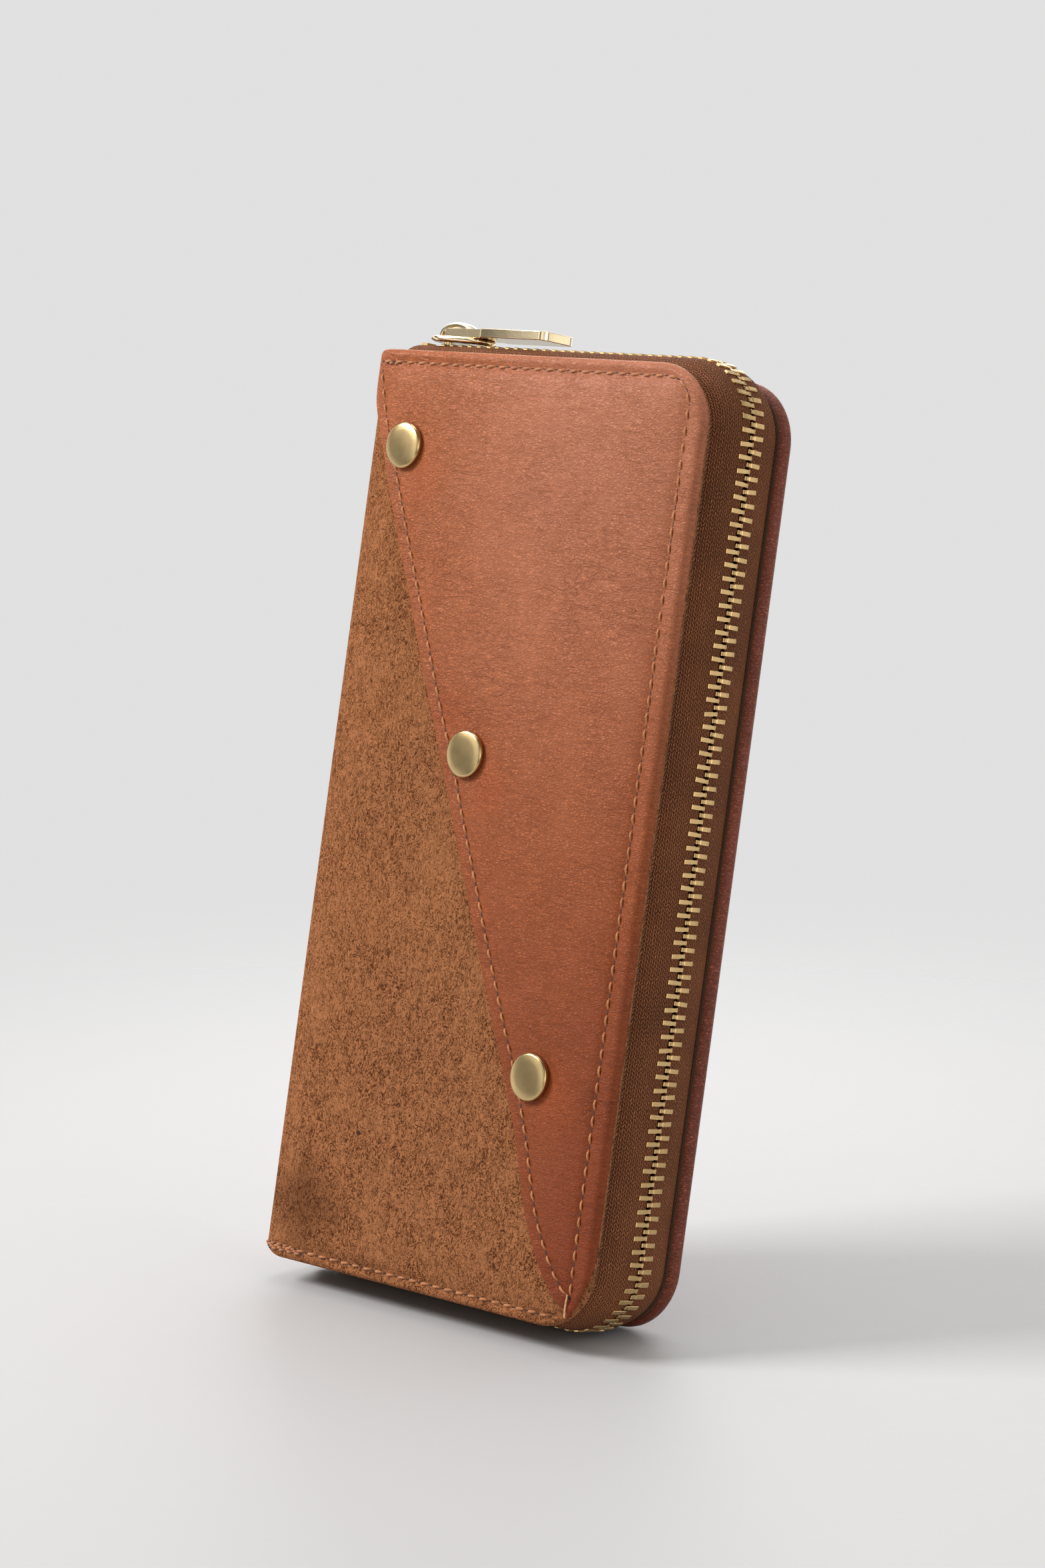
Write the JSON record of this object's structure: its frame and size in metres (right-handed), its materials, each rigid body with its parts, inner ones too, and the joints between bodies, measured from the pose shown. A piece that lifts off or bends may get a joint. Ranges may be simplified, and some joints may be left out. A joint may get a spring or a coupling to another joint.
{
  "type": "zip-around wallet",
  "caption": "Long zip-around wallet with padded covers, a diagonal riveted leather flap over suede, card pockets and a zipped coin pocket.",
  "frame": {"origin": "bottom centre of the bounding box, with the wallet standing on a short end", "axes": "+Z along the spine, -X the spine, +X the zip's long side, -Y the front with the riveted flap"},
  "size_m": [0.093, 0.0298, 0.1987],
  "materials": {
    "flap_leather": "smooth cognac leather with a fine grain, satin",
    "suede": "brown suede with a soft nap, matte",
    "back_leather": "smooth red-brown leather, satin",
    "board": "pressed fibre board, matte",
    "padding": "thin foam, matte",
    "lining": "woven twill lining, matte",
    "pocket_leather": "smooth brown leather, satin",
    "coin_pocket": "woven lining fabric, matte",
    "rivet_brass": "antique brass, satin",
    "zip_tape": "woven brown tape, matte",
    "zip_teeth": "polished brass, satin",
    "slider_metal": "pale gold plating, polished",
    "coin_tape": "woven brown tape, matte",
    "coin_teeth": "polished brass, satin",
    "coin_metal": "pale gold plating, polished"
  },
  "bodies": {
    "spine": {"spine_suede": "suede", "spine_board": "board", "spine_lining": "lining", "coin_pocket_front": "coin_pocket", "coin_pocket_back": "coin_pocket", "coin_pocket_mouth_strip": "coin_pocket", "coin_pocket_edging": "coin_pocket", "coin_zip_tape_inner": "coin_tape", "coin_zip_tape_outer": "coin_tape", "coin_zip_teeth_inner": "coin_teeth", "coin_zip_teeth_outer": "coin_teeth", "zip_stops": "zip_teeth"},
    "front_cover": {"front_leather_flap": "flap_leather", "front_suede_panel": "suede", "front_board": "board", "front_padding": "padding", "front_lining": "lining", "rivet_caps": "rivet_brass", "rivet_posts": "rivet_brass", "front_card_pocket_1": "pocket_leather", "front_card_pocket_2": "pocket_leather", "front_card_pocket_3": "pocket_leather", "front_card_pocket_4": "pocket_leather", "zip_tape_front": "zip_tape", "zip_teeth_front": "zip_teeth", "gusset_top_front": "lining", "gusset_bottom_front": "lining"},
    "back_cover": {"back_leather_panel": "back_leather", "back_board": "board", "back_padding": "padding", "back_lining": "lining", "back_card_pocket_1": "pocket_leather", "back_card_pocket_2": "pocket_leather", "back_card_pocket_3": "pocket_leather", "back_card_pocket_4": "pocket_leather", "zip_tape_back": "zip_tape", "zip_teeth_back": "zip_teeth", "gusset_top_back": "lining", "gusset_bottom_back": "lining"},
    "zip_slider": {"zip_slider": "slider_metal"},
    "zip_pull": {"zip_pull": "slider_metal"},
    "coin_slider": {"coin_zip_slider": "coin_metal"},
    "coin_pull": {"coin_zip_pull": "coin_metal"}
  },
  "joints": [
    {"name": "front_cover_hinge", "type": "hinge", "parent": "spine", "child": "front_cover", "pos_m": [-0.04435, -0.01305, 0.096], "axis": [0, 0, -1], "range_deg": [0, 50], "deforming": ["zip_tape_front", "zip_teeth_front", "gusset_top_front", "gusset_bottom_front"]},
    {"name": "back_cover_hinge", "type": "hinge", "parent": "spine", "child": "back_cover", "pos_m": [-0.04435, 0.01495, 0.096], "axis": [0, 0, 1], "range_deg": [0, 50], "deforming": ["zip_tape_back", "zip_teeth_back", "gusset_top_back", "gusset_bottom_back"]},
    {"name": "zip_slide", "type": "slide", "parent": "spine", "child": "zip_slider", "axis": [1, 0, 0], "range_m": [0, 0.055], "deforming": ["zip_teeth_front", "zip_teeth_back"]},
    {"name": "pull_hinge", "type": "hinge", "parent": "zip_slider", "child": "zip_pull", "pos_m": [-0.0376, 0.00095, 0.1962], "axis": [0, -1, 0], "range_deg": [0, 170]},
    {"name": "coin_slide", "type": "slide", "parent": "spine", "child": "coin_slider", "axis": [0, 0, -1], "range_m": [0, 0.135], "deforming": ["coin_zip_teeth_inner", "coin_zip_teeth_outer"]},
    {"name": "coin_pull_hinge", "type": "hinge", "parent": "coin_slider", "child": "coin_pull", "pos_m": [0.0125, -0.00251, 0.16991], "axis": [-1, 0, 0], "range_deg": [0, 12]}
  ]
}
